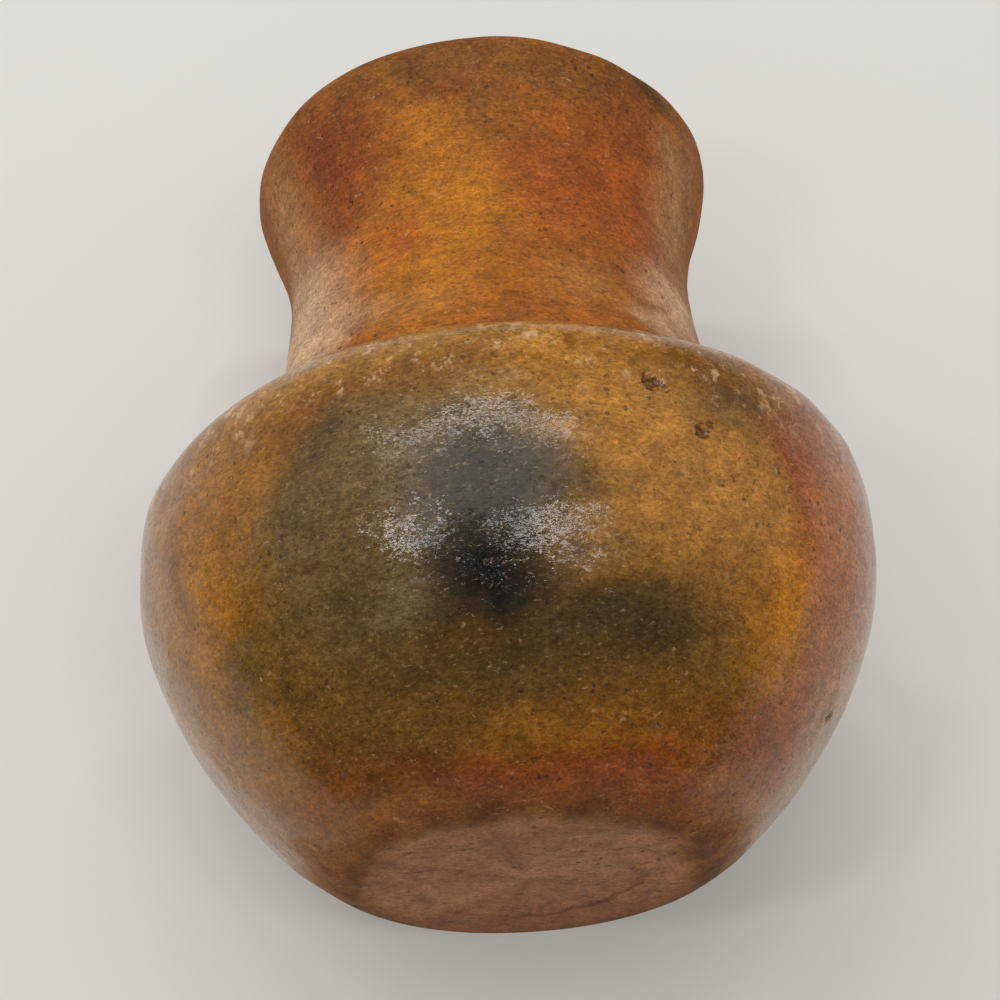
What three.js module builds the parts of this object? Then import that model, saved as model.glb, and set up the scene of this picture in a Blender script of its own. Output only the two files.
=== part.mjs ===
import * as THREE from 'three';

// A hand-coiled earthenware vase: a low round belly, a waisted neck and a plain round mouth.
// Millimetres, +Z up, with the origin at the middle of the flat foot.
// The pot is raised from a flat pad of clay. Coils are luted on one above the other, each pressed down
// over the inside of the one below, so that every joint slants down into the pot.

// Outline of the outside, from the foot up
const FOOT_RADIUS = 25.6;
const BELLY_RADIUS = 57.5;
const BELLY_RISE = 47.4; // from the foot up to the widest place
const ROOT_RADIUS = 41.4; // where the shoulder turns up into the neck
const SHOULDER_RISE = 19.9;
const WAIST_RADIUS = 34.4; // the narrowest place of the neck
const THROAT_RISE = 33;
const MOUTH_RADIUS = 40.2;
const MOUTH_RISE = 26; // from the waist up to where the lip rounds over

// Slope of the outside in degrees: 90 is upright, less leans out and more leans in
const FOOT_SLOPE = 6;
const ROOT_SLOPE = 152;
const MOUTH_SLOPE = 86;

// Fullness of each stretch at its lower and upper end, as a share of the straight line between them
const BOWL_FULLNESS = [0.13, 0.39];
const SHOULDER_FULLNESS = [0.5, 0.65];
const INNER_SHOULDER_FULLNESS = [0.45, 0.4]; // fingers leave a softer turn inside than outside
const THROAT_FULLNESS = [0.16, 0.21];
const MOUTH_FULLNESS = [0.42, 0.25];

// Clay
const FLOOR = 7;
const WALL = 6;
const LIP = 5;
const JOINT_DROP = 4; // how much further back a joint ends inside than outside
const COIL_CROWN = 1; // the round edge that each coil keeps under the next
const FINGER_RIDGE = 0.7; // how far a coil stands into the pot, where no hand could wipe it flat

// Coils
const PAD_RADIUS = 16.5; // the seam on the underside of the foot
const FOOT_COIL_REACH = 9; // how far the first coil runs up the wall from the edge of the foot
const BODY_COILS = 7;
const NECK_COILS = 5;
const RIM_COIL_REACH = 8; // how far down from the lip the last coil starts

// Fineness of the faces
const AROUND = 48;
const OUTER_STEPS = 4;
const LIP_STEPS = 6;

// Colours of the fired clay, from the foot up
const FOOT_COLOURS = ['#8f6249', '#8a5232'];
const BODY_COLOURS = ['#7c4a24', '#6a4a28', '#54452b', '#5a4a30', '#6b5430', '#8a6a34', '#9a7434'];
const NECK_COLOURS = ['#a8752f', '#a56a28', '#9f5f26', '#975624', '#8c4f26'];
const RIM_COLOUR = '#85502f';

const point = (radius, height) => new THREE.Vector2(radius, height);

function heading(slope) {
  const angle = THREE.MathUtils.degToRad(slope);
  return point(Math.cos(angle), Math.sin(angle));
}

// Where the outline of the outside is fixed, with the thickness of clay behind it
function stations() {
  const root = BELLY_RISE + SHOULDER_RISE;
  const waist = root + THROAT_RISE;
  return [
    { at: point(FOOT_RADIUS, 0), slope: FOOT_SLOPE, clay: FLOOR },
    { at: point(BELLY_RADIUS, BELLY_RISE), slope: 90, clay: WALL },
    { at: point(ROOT_RADIUS, root), slope: ROOT_SLOPE, clay: WALL },
    { at: point(WAIST_RADIUS, waist), slope: 90, clay: WALL },
    { at: point(MOUTH_RADIUS, waist + MOUTH_RISE), slope: MOUTH_SLOPE, clay: LIP },
  ];
}

function throughWall({ at, slope, clay }) {
  return { at: at.clone().addScaledVector(heading(slope + 90), clay), slope };
}

// A smooth stretch of wall between two stations
function bend(lower, upper, [start, end]) {
  const span = lower.at.distanceTo(upper.at);
  const leave = lower.at.clone().addScaledVector(heading(lower.slope), start * span);
  const arrive = upper.at.clone().addScaledVector(heading(upper.slope), -end * span);
  return new THREE.CubicBezierCurve(lower.at, leave, arrive, upper.at);
}

// One side of the pot as five stretches: foot, bowl, shoulder, throat and mouth
function side([foot, belly, root, waist, mouth], shoulderFullness) {
  return [
    new THREE.LineCurve(point(0, foot.at.y), foot.at),
    bend(foot, belly, BOWL_FULLNESS),
    bend(belly, root, shoulderFullness),
    bend(root, waist, THROAT_FULLNESS),
    bend(waist, mouth, MOUTH_FULLNESS),
  ];
}

const outside = side(stations(), SHOULDER_FULLNESS);
const inside = side(stations().map(throughWall), INNER_SHOULDER_FULLNESS);

// Distances are run along the outside, from the middle of the foot
const lengths = outside.map((curve) => curve.getLength());
const distanceTo = (stretch) => lengths.slice(0, stretch).reduce((sum, length) => sum + length, 0);
const BOWL_START = distanceTo(1);
const NECK_START = distanceTo(3);
const LIP_START = distanceTo(5);

// The point of one side at a distance along the outside, or opposite it through the wall
function pointAt(wallSide, distance) {
  let stretch = 0;
  let left = distance;
  while (stretch < lengths.length - 1 && left > lengths[stretch]) {
    left -= lengths[stretch];
    stretch += 1;
  }
  return wallSide[stretch].getPointAt(Math.min(left / lengths[stretch], 1));
}

// A joint through the wall, from the outside in, crowned by the edge of the coil below it
function jointAt(distance) {
  const outer = pointAt(outside, distance);
  const inner = pointAt(inside, distance - JOINT_DROP);
  const across = inner.clone().sub(outer).normalize();
  const crown = point(across.y, -across.x).multiplyScalar(COIL_CROWN);
  return { distance, line: [outer, outer.clone().lerp(inner, 0.5).add(crown), inner] };
}

// The outside between two distances, with the edge of the foot kept sharp
function outerFace(from, to) {
  const distances = [];
  for (let i = 1; i < OUTER_STEPS; i += 1) {
    distances.push(THREE.MathUtils.lerp(from, to, i / OUTER_STEPS));
  }
  if (from < BOWL_START && to > BOWL_START) {
    distances.push(BOWL_START);
    distances.sort((a, b) => a - b);
  }
  return distances.map((distance) => pointAt(outside, distance));
}

// The low ridge that a coil leaves inside
function ridge(lower, upper) {
  const [bottom, top] = [lower.line.at(-1), upper.line.at(-1)];
  const middle = pointAt(inside, (lower.distance + upper.distance) / 2 - JOINT_DROP);
  const along = top.clone().sub(bottom).normalize();
  return middle.addScaledVector(point(-along.y, along.x), FINGER_RIDGE);
}

// A body of clay turned about the axis from its closed profile
function turned(name, colour, profile, bed) {
  const geometry = new THREE.LatheGeometry(profile, AROUND);
  geometry.rotateX(Math.PI / 2);
  splitBed(geometry, profile.length - 1, bed);
  const clay = new THREE.MeshStandardMaterial({ color: colour, roughness: 0.42, metalness: 0 });
  const mesh = new THREE.Mesh(geometry, clay);
  mesh.name = name;
  return mesh;
}

// The faces across a coil's bed are split by the same diagonals as those of the coil under it
function splitBed({ index }, rows, bed) {
  for (let quad = 0; quad < index.count / 6; quad += 1) {
    if (quad % rows >= rows - bed) {
      index.setX(quad * 6 + 2, index.getX(quad * 6 + 3));
      index.setX(quad * 6 + 5, index.getX(quad * 6));
    }
  }
}

// The flat pad that the pot is raised from
function basePad(joint) {
  const profile = [point(0, 0), ...joint.line, point(0, FLOOR)];
  return turned('base_pad', FOOT_COLOURS[0], profile, 0);
}

// A coil between two joints
function coil(name, colour, lower, upper) {
  const bed = lower.line.toReversed();
  const face = outerFace(lower.distance, upper.distance);
  const profile = [lower.line[0], ...face, ...upper.line, ridge(lower, upper), ...bed];
  return turned(name, colour, profile, bed.length - 1);
}

// The last coil, rounded over into the lip
function rimCoil(lower) {
  const bed = lower.line.toReversed();
  const [outer, inner] = [outside, inside].map((wallSide) => wallSide.at(-1).getPoint(1));
  const middle = outer.clone().lerp(inner, 0.5);
  const lip = [];
  for (let i = 0; i <= LIP_STEPS; i += 1) {
    const slope = MOUTH_SLOPE - 90 + (180 * i) / LIP_STEPS;
    lip.push(middle.clone().addScaledVector(heading(slope), LIP / 2));
  }
  const face = outerFace(lower.distance, LIP_START);
  const profile = [lower.line[0], ...face, ...lip, ...bed];
  return turned('rim_coil', RIM_COLOUR, profile, bed.length - 1);
}

// Joints that divide a run of the wall into equal coils, both ends included
function jointsBetween(from, to, coils) {
  return Array.from({ length: coils + 1 }, (_, i) => jointAt(THREE.MathUtils.lerp(from, to, i / coils)));
}

const padJoint = jointAt(PAD_RADIUS);
const bodyJoints = jointsBetween(BOWL_START + FOOT_COIL_REACH, NECK_START, BODY_COILS);
const neckJoints = jointsBetween(NECK_START, LIP_START - RIM_COIL_REACH, NECK_COILS);

const vase = new THREE.Group();
vase.add(basePad(padJoint));
vase.add(coil('foot_coil', FOOT_COLOURS[1], padJoint, bodyJoints[0]));
for (let i = 0; i < BODY_COILS; i += 1) {
  vase.add(coil(`body_coil_${i + 1}`, BODY_COLOURS[i], bodyJoints[i], bodyJoints[i + 1]));
}
for (let i = 0; i < NECK_COILS; i += 1) {
  vase.add(coil(`neck_coil_${i + 1}`, NECK_COLOURS[i], neckJoints[i], neckJoints[i + 1]));
}
vase.add(rimCoil(neckJoints.at(-1)));

export default vase;
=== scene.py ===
from collections import namedtuple
from functools import lru_cache
from math import ceil, cos, pi, radians, sin

import bpy
import numpy as np
from mathutils import Matrix, Vector


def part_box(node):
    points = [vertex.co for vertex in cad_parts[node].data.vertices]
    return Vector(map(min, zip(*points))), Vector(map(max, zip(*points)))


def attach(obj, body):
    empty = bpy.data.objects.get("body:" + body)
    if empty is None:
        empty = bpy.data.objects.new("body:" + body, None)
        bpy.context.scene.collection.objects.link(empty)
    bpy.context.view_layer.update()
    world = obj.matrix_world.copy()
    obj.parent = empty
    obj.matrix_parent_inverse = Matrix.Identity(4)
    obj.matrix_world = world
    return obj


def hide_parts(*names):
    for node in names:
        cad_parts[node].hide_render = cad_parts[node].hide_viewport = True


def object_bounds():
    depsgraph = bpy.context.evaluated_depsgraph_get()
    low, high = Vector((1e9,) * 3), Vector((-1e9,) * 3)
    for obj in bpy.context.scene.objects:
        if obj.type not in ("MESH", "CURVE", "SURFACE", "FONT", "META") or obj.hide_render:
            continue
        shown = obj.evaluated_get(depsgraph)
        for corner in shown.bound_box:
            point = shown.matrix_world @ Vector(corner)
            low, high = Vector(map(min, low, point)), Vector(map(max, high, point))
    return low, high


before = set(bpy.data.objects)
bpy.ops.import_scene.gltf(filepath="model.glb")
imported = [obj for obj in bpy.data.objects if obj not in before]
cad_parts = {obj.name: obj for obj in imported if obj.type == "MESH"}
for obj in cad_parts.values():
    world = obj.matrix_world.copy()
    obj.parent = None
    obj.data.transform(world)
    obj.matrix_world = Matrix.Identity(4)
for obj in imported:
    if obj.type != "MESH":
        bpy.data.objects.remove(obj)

bl_info = {
    "name": "Coiled Earthenware Vase",
    "version": (1, 0, 0),
    "blender": (4, 5, 0),
    "location": "3D View > Sidebar > Vase",
    "description": "Builds a burnished, fire-clouded vase coil by coil",
    "category": "Add Mesh",
}

# Units: metres, with the foot on z = 0 and the front of the vase towards -Y. Values in millimetres are
# multiplied by MM where they are used. Azimuth is in degrees from the front, positive towards +X.
MM = 0.001
FRAME_LOW, FRAME_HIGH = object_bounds()
BODY_COILS = sorted(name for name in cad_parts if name.startswith("body_coil_"))
NECK_COILS = sorted(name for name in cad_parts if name.startswith("neck_coil_"))
COILS = ["base_pad", "foot_coil", *BODY_COILS, *NECK_COILS, "rim_coil"]


def number(name, text, default, **settings):
    """A number that a user can set."""
    return bpy.props.FloatProperty(name=name, description=text, default=default, **settings)


def length(name, text, millimetres):
    """A size, given in millimetres and kept in metres."""
    return number(name, text, millimetres * MM, unit="LENGTH", precision=4)


def tilt(name, text, angle):
    """An angle in radians."""
    return number(name, text, angle, subtype="ANGLE")


def several(name, text, values, subtype):
    """Numbers from 0 to 1 that a user can set together."""
    limits = {"size": len(values), "min": 0.0, "max": 1.0}
    return bpy.props.FloatVectorProperty(
        name=name, description=text, default=values, subtype=subtype, **limits
    )


def fullness(name, text, ends):
    """How full a stretch of the outline is at its lower and upper end."""
    return several(name, text, ends, "XYZ")


def linear(code):
    """Linear light of an sRGB hex colour."""
    channels = [int(code[i : i + 2], 16) / 255 for i in (1, 3, 5)]
    return tuple(c / 12.92 if c <= 0.04045 else ((c + 0.055) / 1.055) ** 2.4 for c in channels)


def colour(name, text, code):
    """A colour, given as sRGB hex."""
    return several(name, text, linear(code), "COLOR")


class VaseOutline(bpy.types.PropertyGroup):
    """Sizes of the clay wall, from the foot up"""

    foot_radius: length("Foot radius", "Radius of the flat foot", 25.6)
    belly_radius: length("Belly radius", "Largest radius of the vase", FRAME_HIGH.x / MM)
    belly_height: length("Belly height", "Height of the widest place", 47.4)
    root_radius: length("Root radius", "Radius at the foot of the neck", 41.4)
    root_height: length("Root height", "Height of the foot of the neck", 67.3)
    waist_radius: length("Waist radius", "Smallest radius of the neck", 34.4)
    waist_height: length("Waist height", "Height of the narrowest place", 100.3)
    mouth_radius: length("Mouth radius", "Radius where the lip rounds over", 40.2)
    mouth_height: length("Mouth height", "Height where the lip rounds over", 126.3)
    foot_slope: tilt("Foot slope", "Lean of the wall at the foot", radians(6))
    root_slope: tilt("Root slope", "Lean of the shoulder at the neck", radians(152))
    mouth_slope: tilt("Mouth slope", "Lean of the wall at the lip", radians(86))
    bowl_fullness: fullness("Bowl", "Fullness from foot to belly", (0.13, 0.39))
    shoulder_fullness: fullness("Shoulder", "Fullness from belly to neck", (0.5, 0.65))
    inner_fullness: fullness("Inside shoulder", "Fullness inside, belly to neck", (0.45, 0.4))
    throat_fullness: fullness("Throat", "Fullness from shoulder to waist", (0.16, 0.21))
    flare_fullness: fullness("Mouth", "Fullness from waist to lip", (0.42, 0.25))
    floor: length("Floor", "Thickness of clay under the pot", 7)
    wall: length("Wall", "Thickness of the wall", 6)
    lip: length("Lip", "Thickness of the lip", 5)
    joint_drop: length("Joint drop", "How much lower a joint ends inside", 4)
    coil_crown: length("Coil crown", "Crown of a coil under the next", 1)
    foot_reach: length("Foot coil", "How far the first coil runs up the wall", 9)
    rim_reach: length("Rim coil", "How far below the lip the last coil starts", 8)


class VaseFinish(bpy.types.PropertyGroup):
    """Hand-made unevenness of the clay"""

    sway: length("Sway", "Slow unevenness from the maker's hands", 0.1)
    dents: length("Dents", "Finger-wide dents that burnishing leaves", 0.05)
    strokes: length("Strokes", "Flats left by strokes of the stone", 0.018)
    rim_wave: length("Rim wave", "How unevenly the rim is levelled", 0.3)
    finger_ridge: length("Finger ridge", "How far a coil stands into the pot", 0.6)


class ClayColours(bpy.types.PropertyGroup):
    """Colours of the fired clay and of its clouds, with painted sheen and painted shade among them"""

    clay: colour("Clay", "Oxidised clay of the belly", "#94601c")
    neck: colour("Neck", "Oxidised clay of the neck", "#98540c")
    amber: colour("Amber", "Clean, bright ochre", "#b47010")
    gold: colour("Gold", "Clean yellow ochre", "#a97331")
    tan: colour("Tan", "Paler ochre of the shoulder", "#a0702f")
    orange: colour("Orange", "Bright orange streak", "#a2681c")
    terracotta: colour("Terracotta", "Red-brown flank", "#a05a24")
    russet: colour("Russet", "Redder, brighter clay of the neck", "#a5500c")
    rust: colour("Rust", "Dark red-brown clay", "#7e3a0c")
    band: colour("Band", "Scorched brown", "#774911")
    olive: colour("Olive", "Thin smoke over ochre", "#6b4e1d")
    smoke: colour("Smoke", "Dense smoke", "#65502e")
    umber: colour("Umber", "Brown smoke", "#4a3819")
    slate: colour("Slate", "Grey edge of the soot", "#313229")
    # Painted sheen: a pale grey smear of reflected light, laid over the smoke as a colour
    ash: colour("Ash", "Pale smoke", "#786a4c")
    soot: colour("Soot", "Carbon held in the clay", "#0b0e0f")
    # A little dust and scuffing, but mostly painted sheen where the sides turn away and reflect the
    # pale table
    dust: colour("Dust", "Dull, dusty bloom", "#ab7c4c")
    # Painted sheen: the pale reflection at the foot of the neck, laid in as a colour
    bloom: colour("Bloom", "Pale bloom at the foot of the neck", "#d0aa84")
    foot: colour("Foot", "Bare clay of the foot", "#a26b46")
    # Partly painted shade in the crease round the foot, partly the pad's dark seam and drag marks on
    # the bare foot
    dark_marks_and_crease_shade: colour("Crease", "Dark, handled clay round the foot", "#5a2d08")
    grit: colour("Grit", "Burnt grit and pits", "#331508")
    scuff: colour("Scuff", "Clay rubbed pale", "#cfa87a")
    inside: colour("Inside", "Unburnished clay inside", "#5b4434")


class VaseStudio(bpy.types.PropertyGroup):
    """Camera, table and light"""

    focal: number("Focal length", "In widths of the picture", 1.75, min=0.1)
    distance: length("Distance", "From the axis of the vase to the camera", 246.45)
    drop: length("Drop", "How far the camera is below the foot", 81.94)
    pitch: tilt("Pitch", "Upward tilt of the camera", 0.535)
    roll: tilt("Roll", "Turn of the camera about its view", -0.068)
    yaw: tilt("Yaw", "Turn of the camera towards +X", -0.002)
    table: colour("Table", "Matt pale table top", "#e2e0da")
    sky: number("Sky", "How much of the light comes from all round", 0.36)
    gloom: number("Gloom", "Brightness of the room in reflections", 0.1)


# Outline

Station = namedtuple("Station", "at slope clay")
BEND_STEPS = 400  # measures a stretch to a hundredth of a millimetre
LIP_STEPS = 12
MOUTH = -1  # the last stretch of a side
WALL_START = 0.9  # share of the foot's radius from which the outside counts as wall


def heading(lean):
    """Unit step in the outline's plane, radius first: 0 is outward and a right angle is up."""
    return np.array((cos(lean), sin(lean)))


def stations(sizes):
    """Where the outside is fixed, with the thickness of clay behind it."""
    upright = pi / 2
    return (
        Station(np.array((sizes.foot_radius, 0.0)), sizes.foot_slope, sizes.floor),
        Station(np.array((sizes.belly_radius, sizes.belly_height)), upright, sizes.wall),
        Station(np.array((sizes.root_radius, sizes.root_height)), sizes.root_slope, sizes.wall),
        Station(np.array((sizes.waist_radius, sizes.waist_height)), upright, sizes.wall),
        Station(np.array((sizes.mouth_radius, sizes.mouth_height)), sizes.mouth_slope, sizes.lip),
    )


def through_wall(station):
    """The same place on the other side of the clay."""
    inward = heading(station.slope + pi / 2)
    return Station(station.at + inward * station.clay, station.slope, station.clay)


def unit(vectors):
    """Vectors made one long."""
    return vectors / np.linalg.norm(vectors, axis=-1)[..., None]


def bend(lower, upper, ends):
    """Points along a smooth stretch of wall between two stations."""
    span = np.linalg.norm(upper.at - lower.at)
    leave = lower.at + heading(lower.slope) * span * ends[0]
    arrive = upper.at - heading(upper.slope) * span * ends[1]
    t = np.linspace(0, 1, BEND_STEPS + 1)[:, None]
    ends_part = (1 - t) ** 3 * lower.at + t**3 * upper.at
    return ends_part + 3 * (1 - t) ** 2 * t * leave + 3 * (1 - t) * t**2 * arrive


class Side:
    """One side of the clay in five stretches: foot, bowl, shoulder, throat and mouth."""

    def __init__(self, sizes, fixed, shoulder):
        foot, belly, root, waist, mouth = fixed
        middle = np.array((0.0, foot.at[1]))
        self.stretches = (
            np.linspace(middle, foot.at, BEND_STEPS + 1),
            bend(foot, belly, sizes.bowl_fullness),
            bend(belly, root, shoulder),
            bend(root, waist, sizes.throat_fullness),
            bend(waist, mouth, sizes.flare_fullness),
        )
        self.runs = [self.run(points) for points in self.stretches]
        self.lengths = [run[-1] for run in self.runs]

    @staticmethod
    def run(points):
        """Distance along a stretch at each of its points."""
        steps = np.linalg.norm(np.diff(points, axis=0), axis=1)
        return np.concatenate(([0.0], np.cumsum(steps)))

    def at(self, stretch, share):
        """The point at a share of the way along a stretch."""
        points, run = self.stretches[stretch], self.runs[stretch]
        return np.array([np.interp(share * run[-1], run, points[:, axis]) for axis in (0, 1)])


class Outline:
    """Both sides of the wall, and the joints as distances along the outside."""

    def __init__(self, sizes):
        fixed = stations(sizes)
        self.sizes = sizes
        self.outside = Side(sizes, fixed, sizes.shoulder_fullness)
        self.inside = Side(sizes, [through_wall(s) for s in fixed], sizes.inner_fullness)
        starts = np.concatenate(([0.0], np.cumsum(self.outside.lengths)))
        self.bowl_start, self.neck_start, self.lip_start = starts[1], starts[3], starts[5]
        pad_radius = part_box("base_pad")[1].x
        first, last = self.bowl_start + sizes.foot_reach, self.lip_start - sizes.rim_reach
        body = np.linspace(first, self.neck_start, len(BODY_COILS) + 1)
        neck = np.linspace(self.neck_start, last, len(NECK_COILS) + 1)
        self.joints = [pad_radius, *body, *neck[1:]]

    def place(self, side, distance):
        """Point of a side at a distance along the outside, or opposite it."""
        for stretch, reach in enumerate(self.outside.lengths[:MOUTH]):
            if distance <= reach:
                return side.at(stretch, distance / reach)
            distance -= reach
        return side.at(MOUTH, min(distance / self.outside.lengths[MOUTH], 1.0))

    def lip(self):
        """Points over the lip, between the last points of the two sides."""
        outer, inner = self.outside.at(MOUTH, 1.0), self.inside.at(MOUTH, 1.0)
        middle, radius = (outer + inner) / 2, np.linalg.norm(outer - inner) / 2
        start = self.sizes.mouth_slope - pi / 2
        turns = np.linspace(0, pi, LIP_STEPS + 1)[1:-1]
        return [middle + heading(start + turn) * radius for turn in turns]


# Surface

OUTER_ROW = 0.55 * MM  # height of a row of faces outside, finer than the smallest pit
INNER_ROW = 1.3 * MM
COLUMNS = 640  # points round the pot in a row
POLE_ROW = 0.4 * MM  # radius of the first row round the middle of the foot and of the floor

# Kinds of unevenness, with their shortest and longest waves in millimetres
Roll = namedtuple("Roll", "shortest longest waves seed")
SWAY = Roll(26, 70, 28, 3)
DENTS = Roll(9, 22, 60, 5)
STROKES = Roll(3.5, 8, 90, 8)
RIM_WAVES = Roll(22, 60, 20, 12)
RIM_FADE = 22 * MM  # how far down the neck the rim's waves reach
CALM_HEIGHT = 6 * MM  # below this the wall grows even towards the foot, which stands flat
CALM_LEAST = 0.25

# Holes left by grit that burnt or fell out, with sizes in millimetres. Those past 60 degrees from the
# front are guessed.
Pit = namedtuple("Pit", "azimuth height radius depth")
PITS = tuple(Pit(*row) for row in (
    (21.4, 49.2, 1.5, 0.75),
    (23.2, 48.4, 0.8, 0.5),
    (20.3, 50, 0.7, 0.4),
    (28.6, 42.9, 1.3, 0.8),
    (30, 44, 0.8, 0.45),
    (27.3, 44.3, 0.6, 0.35),
    (31.6, 36.2, 0.8, 0.4),
    (33.8, 37.4, 0.7, 0.35),
    (41.6, 40.2, 0.7, 0.4),
    (44, 38.6, 0.7, 0.4),
    (-38.2, 105.4, 0.9, 0.5),
    (-19.4, 103.2, 0.6, 0.35),
    (-21, 104, 0.5, 0.3),
    (78, 18, 1, 0.5),
    (128, 52, 1.1, 0.6),
    (152, 31, 0.9, 0.45),
    (-140, 44, 1.2, 0.6),
    (-118, 24, 0.8, 0.4),
    (-160, 98, 0.9, 0.4),
    (110, 104, 0.8, 0.4),
))
PIT_REACH = 3  # radii from a pit's middle beyond which nothing is worked out
PIT_WAVES = (0.8, 2.2, 24)  # wavelengths and number of the waves of a pit's ragged edge
PIT_RAGGED = 0.16  # share of its radius by which the edge comes and goes
PIT_BRIM = 1.05  # above 1, so that a pit's floor is flat near its middle


def rolling(points, roll):
    """Random smooth ups and downs over the surface, about one high."""
    chance = np.random.default_rng(roll.seed)
    directions = unit(chance.normal(size=(roll.waves, 3)))
    spread = np.log(roll.shortest * MM), np.log(roll.longest * MM)
    wavelengths = np.exp(chance.uniform(*spread, roll.waves))
    phases = chance.uniform(0, 2 * pi, roll.waves)
    total = np.zeros(points.shape[:-1])
    for direction, wavelength, phase in zip(directions, wavelengths, phases):
        total += np.cos(points @ (direction * 2 * pi / wavelength) + phase)
    return total * (2 / roll.waves) ** 0.5


class Surface:
    """The skin of the pot as one grid, from under the foot over the lip to the floor."""

    def __init__(self, sizes, finish):
        self.outline = outline = Outline(sizes)
        self.finish = finish
        dropped = [distance - sizes.joint_drop for distance in outline.joints]
        outer, self.outer_joint = self.rows_of(outline.outside, outline.joints, OUTER_ROW)
        inner, inner_index = self.rows_of(outline.inside, dropped, INNER_ROW)
        lip = outline.lip()
        self.profile = np.array(outer + lip + inner[::-1])
        self.outer_rows = len(outer)
        self.inner_start = len(outer) + len(lip)
        self.rows = len(self.profile)
        self.inner_joint = [self.rows - 1 - index for index in inner_index]
        self.shape()

    def rows_of(self, side, joints, height):
        """Points up one side in rows of about a height, and the rows at the joints."""
        points, marks = [], []
        edges = [POLE_ROW, *joints, self.outline.lip_start]
        for low, high in zip(edges[:-1], edges[1:]):
            count = ceil((high - low) / height)
            points += [self.outline.place(side, d) for d in np.linspace(low, high, count + 1)[:-1]]
            marks.append(len(points))
        return points + [side.at(MOUTH, 1.0)], marks

    def shape(self):
        """Turns the profile and makes it uneven."""
        azimuth = self.azimuth = np.linspace(0, 2 * pi, COLUMNS, endpoint=False)
        radius, height = self.profile[:, :1], self.profile[:, 1:]
        along = unit(np.gradient(self.profile, axis=0))
        out_radius, out_height = along[:, 1:], -along[:, :1]
        even = self.turned(radius, height, azimuth)
        push, self.pit = self.unevenness(even)
        self.points = self.turned(radius + out_radius * push, height + out_height * push, azimuth)
        self.points[..., 2] += self.rim_wave(even)
        across = np.roll(self.points, -1, axis=1) - np.roll(self.points, 1, axis=1)
        up = np.gradient(self.points, axis=0)
        self.normals = unit(np.cross(across, up))

    @staticmethod
    def turned(radius, height, azimuth):
        """Points of a grid turned about the axis."""
        x, y = radius * np.sin(azimuth), -radius * np.cos(azimuth)
        return np.stack((x, y, np.broadcast_to(height, x.shape)), axis=-1)

    def unevenness(self, even):
        """How far each point is out from the even form, and how deep in a pit."""
        finish = self.finish
        push = finish.sway * rolling(even, SWAY)
        push += finish.dents * rolling(even, DENTS)
        outer = slice(0, self.outer_rows)
        push[outer] += finish.strokes * rolling(even[outer], STROKES)
        push[self.inner_start :] += self.finger_ridges()[:, None]
        push[outer] *= np.clip(even[outer, :, 2] / CALM_HEIGHT, CALM_LEAST, 1)
        pit = np.zeros(push.shape)
        for hole in PITS:
            pit[outer] = np.maximum(pit[outer], self.pit_depth(even[outer], hole))
        return push - pit, pit

    def finger_ridges(self):
        """The inside stands out at the middle of each coil."""
        marks = [self.rows - 1, *self.inner_joint]
        ridge = np.zeros(self.rows)
        for lower, upper in zip(marks[1:-1], marks[2:]):
            rows = np.arange(upper, lower + 1)
            ridge[rows] = np.sin(pi * (rows - upper) / (lower - upper)) ** 2
        return ridge[self.inner_start :] * self.finish.finger_ridge

    def pit_depth(self, even, hole):
        """Depth of one pit at each point, ragged at its edge."""
        angle = radians(hole.azimuth)
        heights = self.profile[: self.outer_rows, 1]
        above = np.flatnonzero(heights > hole.height * MM)[0]
        radius = self.profile[above, 0]
        centre = np.array((radius * sin(angle), -radius * cos(angle), hole.height * MM))
        offset = even - centre
        distance = np.linalg.norm(offset, axis=-1)
        near = distance < PIT_REACH * hole.radius * MM
        ragged = rolling(even[near], Roll(*PIT_WAVES, seed=int(hole.height * 10)))
        share = distance[near] / (hole.radius * MM) + PIT_RAGGED * ragged
        depth = np.zeros(distance.shape)
        depth[near] = hole.depth * MM * np.clip(PIT_BRIM - share**3, 0, 1)
        return depth

    def rim_wave(self, even):
        """How far the rim is above or below its level, fading out down the neck."""
        level = self.finish.rim_wave * rolling(even[self.outer_rows], RIM_WAVES)
        top = self.profile[:, 1].max()
        fade = np.clip(1 - (top - self.profile[:, 1]) / RIM_FADE, 0, 1) ** 2
        return fade[:, None] * level[None, :]

    def row(self, index):
        """A row round the pot: its points, its normals, its pits and whether it is inside."""
        inside = np.full(COLUMNS, float(index >= self.inner_start))
        return self.points[index], self.normals[index], self.pit[index], inside

    def wall(self):
        """The even outside of the wall, from the edge of the foot to the lip."""
        outside = self.profile[: self.outer_rows]
        return outside[outside[:, 0] > WALL_START * self.outline.sizes.foot_radius]


@lru_cache(maxsize=1)
def surface():
    """The skin of the pot, made once for all the coils."""
    scene = bpy.context.scene
    return Surface(scene.vase_outline, scene.vase_finish)


# Coils

PLACE_ROOM = 1.5 * MM  # how far a coil's box may be from its CAD node's, for its unevenness


def bed_row(skin, joint):
    """The crowned middle of a joint, between the outside and the inside."""
    outer = skin.points[skin.outer_joint[joint]]
    inner = skin.points[skin.inner_joint[joint]]
    across = unit(inner - outer)
    azimuth = skin.azimuth
    around = np.stack((np.cos(azimuth), np.sin(azimuth), np.zeros(COLUMNS)), axis=1)
    crown = np.cross(across, around) * skin.outline.sizes.coil_crown
    normals = skin.normals[skin.outer_joint[joint]]
    return (outer + inner) / 2 + crown, normals, np.zeros(COLUMNS), np.ones(COLUMNS)


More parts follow.
